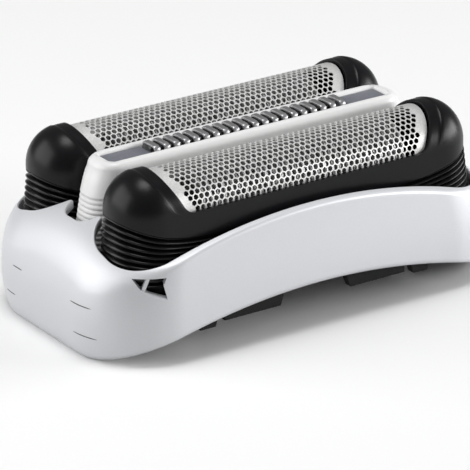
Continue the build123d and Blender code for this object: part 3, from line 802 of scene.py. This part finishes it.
def comb_path(inset, low_z):
    """The bent sheet's line across the slot, from the front leg over to the rear leg."""
    radius = bar_bend - inset
    across = comb_half_width - bar_bend
    top = comb_top_z - bar_bend
    rear = [(comb_half_width - inset, low_z)]
    for step in range(bend_steps + 1):
        angle = math.pi / 2 * step / bend_steps
        rear.append((across + radius * math.cos(angle), top + radius * math.sin(angle)))
    return [(-y, z) for y, z in rear] + rear[::-1]


def comb_strip(shape, x_low, x_high, low_z):
    """A strip of the bent sheet, with the long edges of its outside rounded over."""
    outer = comb_path(0, low_z)
    edge = comb_path(comb_edge_round, low_z)
    inner = comb_path(comb_sheet, low_z)
    part_way = comb_edge_share * comb_edge_round
    loops = []
    for (outer_y, outer_z), (edge_y, edge_z), (inner_y, inner_z) in zip(outer, edge, inner):
        middle_y = outer_y * (1 - comb_edge_share) + edge_y * comb_edge_share
        middle_z = outer_z * (1 - comb_edge_share) + edge_z * comb_edge_share
        loops.append([
            (x_low, inner_y, inner_z),
            (x_low, edge_y, edge_z),
            (x_low + part_way, middle_y, middle_z),
            (x_low + comb_edge_round, outer_y, outer_z),
            (x_high - comb_edge_round, outer_y, outer_z),
            (x_high - part_way, middle_y, middle_z),
            (x_high, edge_y, edge_z),
            (x_high, inner_y, inner_z),
        ])
    rod(shape, [placed(loop) for loop in loops])


comb = bmesh.new()
bar_low_z = comb_top_z - comb_slot_depth
for k in range(comb_bars):
    middle = (k - (comb_bars - 1) / 2) * comb_pitch
    half = (comb_pitch - comb_gap) / 2
    x_low = max(middle - half, -comb_half_length)
    x_high = min(middle + half, comb_half_length)
    comb_strip(comb, x_low, x_high, bar_low_z)
for hand in (-1, 1):
    wall = sorted((hand * comb_half_width, hand * (comb_half_width - comb_sheet)))
    rail_low = (-comb_half_length, wall[0], comb_top_z - comb_leg)
    rail_high = (comb_half_length, wall[1], bar_low_z + comb_rail_overlap)
    add_block(comb, rail_low, rail_high, comb_rail_round)
smooth_piece("guard_comb", comb, comb_steel, "trimmer_unit", ["trimmer_comb"])
dress("trimmer_blade", blade_steel)
dress("trimmer_slider", gloss_white)


# Trimmer inserts: bluish grey plastic blocks pressed into both ends of the slot beside the comb.
# Their tops stand a little below the bar's top edge.
insert_edge_round = 0.22

insert_grey = grained(
    "insert_grey", (0.17, 0.175, 0.205), roughness=0.45, grain_mm=0.3,
    shades=((0.155, 0.16, 0.19), (0.19, 0.195, 0.225)), polish=(0.38, 0.52), lift_mm=0.006,
)
for end in ("left", "right"):
    node = f"{end}_trimmer_insert"
    low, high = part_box(node)
    insert = bmesh.new()
    add_block(insert, low / mm, high / mm, insert_edge_round)
    smooth_piece(f"{end}_slot_block", insert, insert_grey, "trimmer_unit", [node])


# Ring frame: the silver belt that holds it all, moulded thin in plastic and lacquered in satin silver.
# Its sides are arched below and crowned above. At the ends its top turns in as a closed shoulder, with
# the opening cut through it. It snaps under the chassis, and a release eyelet is cut at two corners.
ring_levels = (
    (0.0, 30.5, 17.7, 10.5),
    (5.5, 31.3, 18.0, 10.5),
    (10.5, 30.5, 17.6, 10.0),
    (18.0, 27.4, 16.8, 9.0),
)
ring_inside_box = 0.06
ring_wall = 1.2
ring_rows = 22
ring_foot_round = 0.2
end_shoulder = 3.8
side_shoulder = 0.45
shoulder_steps = 14
land_steps = 9
under_steps = 4
land_thickness = 1.1
land_reach = 5.0
rim_window = 12
rim_even_share = 0.9
rim_round = 0.22
rim_round_steps = 3
rim_halvings = 30
crown_z = 20.2
crown_radius_x = 76.0
crown_sag_y = 0.0135
belly_z = 5.0
belly_radius_x = 89.0
belly_sag_y = 0.0035
row_offset = 9.6
opening_gap = 0.3
pocket_half_length = 26.3
pocket_half_width = 3.35
pocket_corner = 2.5
height_step = 0.1
top_margin = 0.001
march_step = 0.05
eyelet_angle = 62
eyelet_z = 11.5
eyelet_lift = 0.35
eyelet_length = 4.4
eyelet_drop = 2.4
eyelet_strut = 0.45
eyelet_strut_lean = 22
eyelet_strut_reach = 0.47
eyelet_strut_depth = 0.3
seat_gap = 0.05
seat_reach = 1.1
seat_half_width = 3.0
deck_top_z = 10.1
seat_top_z = 12.8
snap_x = 20.5
snap_length = 3.0
snap_top_z = 6.1
snap_height = 1.1
snap_inner_y = 15.5
catch_round = 0.15


def level_size(z):
    """The belt's half length, half depth and corner at a height, on a smooth curve through its levels."""
    size = []
    for column in (1, 2, 3):
        total = 0.0
        for level in ring_levels:
            weight = 1.0
            for other in ring_levels:
                if other is not level:
                    weight *= (z - other[0]) / (level[0] - other[0])
            total += weight * level[column]
        size.append(total)
    return size[0] - ring_inside_box, size[1] - ring_inside_box, size[2]


def rounded_box_distance(x, y, half_length, half_width, corner):
    over_x = abs(x) - half_length + corner
    over_y = abs(y) - half_width + corner
    outside = math.hypot(max(over_x, 0), max(over_y, 0))
    return outside + min(max(over_x, over_y), 0) - corner


def opening_distance(x, y):
    """How far a point lies outside the opening, which has a lobe for each foil and a pocket between."""
    lobe_length = cap_half_length + bellows_flare + opening_gap
    lobe_width = cap_half_width + bellows_flare + opening_gap
    lobe = rounded_box_distance(x, abs(y) - row_offset, lobe_length, lobe_width, foot_corner + opening_gap)
    pocket = rounded_box_distance(x, y, pocket_half_length, pocket_half_width, pocket_corner)
    return min(lobe, pocket)


def crown_height(x, y):
    return crown_z - crown_sag_y * y * y - (crown_radius_x - math.sqrt(crown_radius_x**2 - x * x))


def belly_height(x, y):
    return max(belly_z + belly_sag_y * y * y - (belly_radius_x - math.sqrt(belly_radius_x**2 - x * x)), 0)


level_count = round(ring_levels[-1][0] / height_step) + 1
heights = [height_step * step for step in range(level_count)]
belt = [rounded_loop(*level_size(z), z, long_steps=150, short_steps=90, corner_steps=40) for z in heights]
count = len(belt[0])


def belt_point(k, z):
    """The outside of the belt at one place around it and a height, between the loops worked out above."""
    place = min(max(z / height_step, 0), level_count - 1 - top_margin)
    low_loop = int(place)
    a = Vector(belt[low_loop][k])
    b = Vector(belt[low_loop + 1][k])
    return a.lerp(b, place - low_loop)


def belt_meets(k, surface):
    """The height at which the belt's outside first stands above a surface, at one place around it."""
    last = None
    for z, loop in zip(heights, belt):
        over = z - surface(loop[k][0], loop[k][1])
        if over >= 0:
            return z if last is None else z - height_step * over / (over - last)
        last = over


def land_depth(top, inward):
    """How far the top reaches in from the outside before it meets the opening."""
    last = opening_distance(top.x, top.y)
    depth = 0.0
    while depth < land_reach:
        depth += march_step
        point = top + inward * depth
        gap = opening_distance(point.x, point.y)
        if gap <= 0:
            return depth + march_step * gap / (last - gap)
        last = gap
    return land_reach


def belt_edge(k):
    """The belt's top edge at one place: the edge itself, the way in from it and the width of its bend."""
    high_z = belt_meets(k, crown_height)
    along = belt_point((k + 1) % count, high_z) - belt_point(k - 1, high_z)
    inward = Vector((-along.y, along.x, 0)).normalized()
    bend = side_shoulder + (end_shoulder - side_shoulder) * inward.x**2
    return belt_point(k, high_z), inward, bend


def over_shoulder(k, share):
    """A point of the bend from the wall to the crowned top, or of that top beyond a share of one."""
    top, inward, bend = edges[k]
    land = top + inward * bend * max(share, 1)
    land.z = crown_height(land.x, land.y)
    if share > 1:
        return land
    return belt_point(k, top.z - bend) * (1 - share)**2 + top * 2 * share * (1 - share) + land * share**2


def rim_share(k):
    """How far over the shoulder the rim of the opening lies at one place."""
    top, inward, bend = edges[k]
    low_share = 0.0
    high_share = 1 + land_reach / bend
    for _ in range(rim_halvings):
        share = (low_share + high_share) / 2
        if (over_shoulder(k, share) - top).dot(inward) < depths[k] - rim_round:
            low_share = share
        else:
            high_share = share
    return low_share


def belt_section(k):
    """The belt's section at one place: up outside, over the shoulder, into the opening, down inside."""
    top, inward, bend = edges[k]
    wall_z = top.z - bend
    low_z = belt_meets(k, belly_height)
    foot_z = low_z + ring_foot_round
    section = [belt_point(k, foot_z + (wall_z - foot_z) * step / ring_rows) for step in range(ring_rows)]
    near = [rims[(k + step) % count] for step in range(-rim_window, rim_window + 1)]
    even = rim_even_share * min(near)
    land = rims[k] - even
    section += [over_shoulder(k, even * step / shoulder_steps) for step in range(shoulder_steps)]
    section += [over_shoulder(k, even + land * step / land_steps) for step in range(land_steps + 1)]
    rim = section[-1]
    for step in range(1, rim_round_steps + 1):
        angle = math.pi / 2 * step / rim_round_steps
        drop = Vector((0, 0, rim_round * (1 - math.cos(angle))))
        section.append(rim + inward * rim_round * math.sin(angle) - drop)
    under_z = rim.z - land_thickness
    inner_z = min(rim.z, top.z) - 2 * land_thickness
    for step in range(under_steps):
        reach = depths[k] + (ring_wall - depths[k]) * step / under_steps
        point = top + inward * reach
        section.append(Vector((point.x, point.y, under_z + (inner_z - under_z) * step / under_steps)))
    for step in range(ring_rows // 2 + 1):
        z = inner_z + (foot_z - inner_z) * step / (ring_rows // 2)
        section.append(belt_point(k, z) + inward * ring_wall)
    foot = belt_point(k, low_z)
    section.append(foot + inward * (ring_wall - ring_foot_round))
    section.append(foot + inward * ring_foot_round)
    return section


def cut_away(shape, cutter):
    """Takes one closed shape out of another."""
    whole = new_object("whole", shape)
    tool = new_object("cutter", cutter)
    cut = whole.modifiers.new("cut", "BOOLEAN")
    cut.operation = "DIFFERENCE"
    cut.solver = "EXACT"
    cut.object = tool
    return modified(whole, tool)


def eyelet_frame(turn):
    """Where an eyelet stands on its corner: its middle, the way along the rim and the way out."""
    half_length, half_depth, corner = level_size(eyelet_z)
    lean = math.radians(eyelet_angle + turn)
    outward = Vector((math.cos(lean), math.sin(lean), 0))
    hand = 1 if turn == 0 else -1
    axis = Vector((half_length - corner, half_depth - corner, 0)) * hand
    along = Vector((-outward.y, outward.x, 0))
    return axis + outward * corner + Vector((0, 0, eyelet_z)), along, outward


silver = grained(
    "satin_silver", (0.72, 0.73, 0.755), roughness=0.44, metallic=0.3, grain_mm=0.12,
    shades=((0.705, 0.715, 0.74), (0.735, 0.745, 0.77)), polish=(0.41, 0.47), lift_mm=0.002,
)
edges = [belt_edge(k) for k in range(count)]
depths = [land_depth(top, inward) for top, inward, _ in edges]
rims = [rim_share(k) for k in range(count)]
sections = [belt_section(k) for k in range(count)]
ring = bmesh.new()
skin(ring, [[point * mm for point in loop] for loop in zip(*sections)], wrap=True)
eyelet_outline = (
    (-eyelet_length / 2, eyelet_lift),
    (eyelet_length / 2, eyelet_lift),
    (eyelet_length / 2 - eyelet_strut, -eyelet_drop / 4),
    (eyelet_length / 2, -eyelet_drop),
    (-eyelet_length / 4, -eyelet_drop / 2),
)
eyelet_frames = [eyelet_frame(turn) for turn in (180, 0)]
eyelets = bmesh.new()
for middle, along, outward in eyelet_frames:
    ends = []
    for reach in (ring_wall, -2 * ring_wall):
        face = [middle + along * u + outward * reach + Vector((0, 0, v)) for u, v in eyelet_outline]
        ends.append([point * mm for point in face])
    rod(eyelets, ends)
ring = cut_away(ring, eyelets)
lean = math.radians(eyelet_strut_lean)
for middle, along, outward in eyelet_frames:
    strut_up = along * math.sin(lean) + Vector((0, 0, math.cos(lean)))
    strut_side = along * math.cos(lean) - Vector((0, 0, math.sin(lean)))
    centre = middle - along * eyelet_length / 8 - Vector((0, 0, eyelet_drop / 4)) - outward * ring_wall / 2
    strut = []
    for share in (-eyelet_strut_reach, eyelet_strut_reach):
        spine = centre + strut_up * eyelet_drop * share
        strut.append([
            (spine + strut_side * eyelet_strut / 2 * a + outward * ring_wall * eyelet_strut_depth * b) * mm
            for a, b in ((-1, -1), (1, -1), (1, 1), (-1, 1))
        ])
    rod(ring, strut)
for hand in (-1, 1):
    seat = sorted((hand * (pocket_half_length + seat_gap), hand * (pocket_half_length + seat_reach)))
    seat_low = (seat[0], -seat_half_width, deck_top_z)
    add_block(ring, seat_low, (seat[1], seat_half_width, seat_top_z), catch_round)
    for end in (-1, 1):
        across = sorted((hand * snap_inner_y, hand * (ring_levels[0][2] - ring_wall / 2)))
        snap_low = (end * snap_x - snap_length / 2, across[0], snap_top_z - snap_height)
        snap_high = (end * snap_x + snap_length / 2, across[1], snap_top_z)
        add_block(ring, snap_low, snap_high, catch_round)
smooth_piece("silver_ring", ring, silver, "frame", ["ring_frame"], sharp_angle=50)


# Grip lines: short fine lines pressed into both end panels of the ring, two near each corner, where
# fingers pull the head off. Their dark colour is painted shade that stands in for the shadow in the grooves.
grip_places = ((7.4, -7.0, -11.0), (3.4, -7.6, -11.8), (7.4, 5.1, 7.4), (3.4, 6.9, 9.35))
grip_width = 0.14
grip_proud = 0.01
grip_sunk = 0.12
grip_steps = 10
grip_taper = 4
grip_end_share = 0.04


def end_panel_x(y, z):
    """How far out the ring's end panel lies at a place on it."""
    half_length, half_depth, corner = level_size(z)
    over = max(abs(y) - half_depth + corner, 0)
    return half_length - corner + math.sqrt(corner**2 - over**2)


# Painted shade: the strips' dark colour stands in for the shadow inside the pressed grooves.
painted_groove_shade = grained(
    "painted_groove_shade", (0.05, 0.05, 0.055), roughness=0.6, grain_mm=0.3,
    shades=((0.04, 0.04, 0.045), (0.07, 0.07, 0.075)), polish=(0.5, 0.7), lift_mm=0.002,
)
lines = bmesh.new()
for hand in (-1, 1):
    for z, start_y, end_y in grip_places:
        loops = []
        for step in range(grip_steps + 1):
            share = step / grip_steps
            y = start_y + (end_y - start_y) * share
            half = grip_width / 2 * math.sqrt(max(1 - (2 * share - 1) ** grip_taper, grip_end_share))
            corners = ((grip_proud, half), (grip_proud, -half), (-grip_sunk, -half), (-grip_sunk, half))
            loops.append([
                Vector((hand * (end_panel_x(y, z + up) + out), y, z + up)) * mm
                for out, up in corners
            ])
        rod(lines, loops)
smooth_piece("grip_lines", lines, painted_groove_shade, "frame", [])


# Floor, light and camera: a pale studio sheet, three soft lamps and the photograph's viewpoint.
# The sheet fills the view. It throws less light up on the head than it shows to the eye, and the sky
# above is dim at the horizon and brighter overhead.
view_azimuth = -32.2
view_elevation = 22.1
view_roll = -1.3
view_distance = 600.0
aim_height = 8.5
picture_size = 470
pixels_per_mm = 7.66
aim_pixel = (247.0, 221.6)
sensor_width = 36.0
floor_half_size = 1.5
sky_horizon = 0.15
sky_top = 0.3
lamp_aim_z = 0.01

sheet = bmesh.new()
bmesh.ops.create_grid(sheet, x_segments=1, y_segments=1, size=floor_half_size)
floor = new_object("floor", sheet)
paper = new_material("paper", (0.93, 0.93, 0.93), roughness=0.9, specular=0.1)
floor.data.materials.append(paper)
tree = paper.node_tree
bounce = tree.nodes.new("ShaderNodeBsdfDiffuse")
bounce.inputs["Color"].default_value = (0.40, 0.40, 0.40, 1)
rays = tree.nodes.new("ShaderNodeLightPath")
seen = tree.nodes.new("ShaderNodeMath")
mirrored = tree.nodes.new("ShaderNodeMath")
either = tree.nodes.new("ShaderNodeMixShader")
tree.links.new(rays.outputs["Is Camera Ray"], seen.inputs[0])
tree.links.new(rays.outputs["Is Glossy Ray"], seen.inputs[1])
tree.links.new(seen.outputs["Value"], mirrored.inputs[0])
tree.links.new(rays.outputs["Is Transmission Ray"], mirrored.inputs[1])
tree.links.new(mirrored.outputs["Value"], either.inputs["Fac"])
tree.links.new(bounce.outputs["BSDF"], either.inputs[1])
tree.links.new(tree.nodes["Principled BSDF"].outputs["BSDF"], either.inputs[2])
tree.links.new(either.outputs["Shader"], tree.nodes["Material Output"].inputs["Surface"])
floor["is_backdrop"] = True

world = bpy.data.worlds.new("studio")
bpy.context.scene.world = world
world.use_nodes = True
tree = world.node_tree
back_light = tree.nodes["Background"]
back_light.inputs["Color"].default_value = (1, 1, 1, 1)
towards = tree.nodes.new("ShaderNodeTexCoord")
parts = tree.nodes.new("ShaderNodeSeparateXYZ")
strength = tree.nodes.new("ShaderNodeMapRange")
strength.inputs["To Min"].default_value = sky_horizon
strength.inputs["To Max"].default_value = sky_top
tree.links.new(towards.outputs["Generated"], parts.inputs["Vector"])
tree.links.new(parts.outputs["Z"], strength.inputs["Value"])
tree.links.new(strength.outputs["Result"], back_light.inputs["Strength"])

lamps = (
    ("left", (-0.42, 0.20, 0.22), (0.50, 0.40), 1.85),
    ("right", (0.48, -0.28, 0.14), (0.50, 0.20), 3.1),
    ("top", (-0.02, -0.02, 0.50), (0.20, 0.20), 0.95),
)
for name, spot, size, power in lamps:
    lamp = bpy.data.lights.new(name, "AREA")
    lamp.shape = "RECTANGLE"
    lamp.size, lamp.size_y = size
    lamp.energy = power
    holder = bpy.data.objects.new(name, lamp)
    holder.location = spot
    aim = Vector((0, 0, lamp_aim_z)) - Vector(spot)
    holder.rotation_euler = aim.to_track_quat("-Z", "Y").to_euler()
    bpy.context.scene.collection.objects.link(holder)

azimuth, elevation, roll = (math.radians(angle) for angle in (view_azimuth, view_elevation, view_roll))
back = Vector((
    math.sin(azimuth) * math.cos(elevation),
    -math.cos(azimuth) * math.cos(elevation),
    math.sin(elevation),
))
level = Vector((math.cos(azimuth), math.sin(azimuth), 0))
upright = back.cross(level)
right = level * math.cos(roll) + upright * math.sin(roll)
up = upright * math.cos(roll) - level * math.sin(roll)
off_x, off_y = ((picture_size / 2 - pixel) / pixels_per_mm for pixel in aim_pixel)
lens = bpy.data.cameras.new("camera")
lens.sensor_width = sensor_width
lens.lens = pixels_per_mm * view_distance / picture_size * sensor_width
lens.clip_start = 0.01
camera = bpy.data.objects.new("camera", lens)
spot = Vector((0, 0, aim_height)) + back * view_distance + right * off_x - up * off_y
turn = Matrix((right, up, back)).transposed().to_4x4()
camera.matrix_world = Matrix.Translation(spot * mm) @ turn
bpy.context.scene.collection.objects.link(camera)
bpy.context.scene.camera = camera
bpy.context.scene.view_settings.view_transform = "Standard"

low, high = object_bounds()
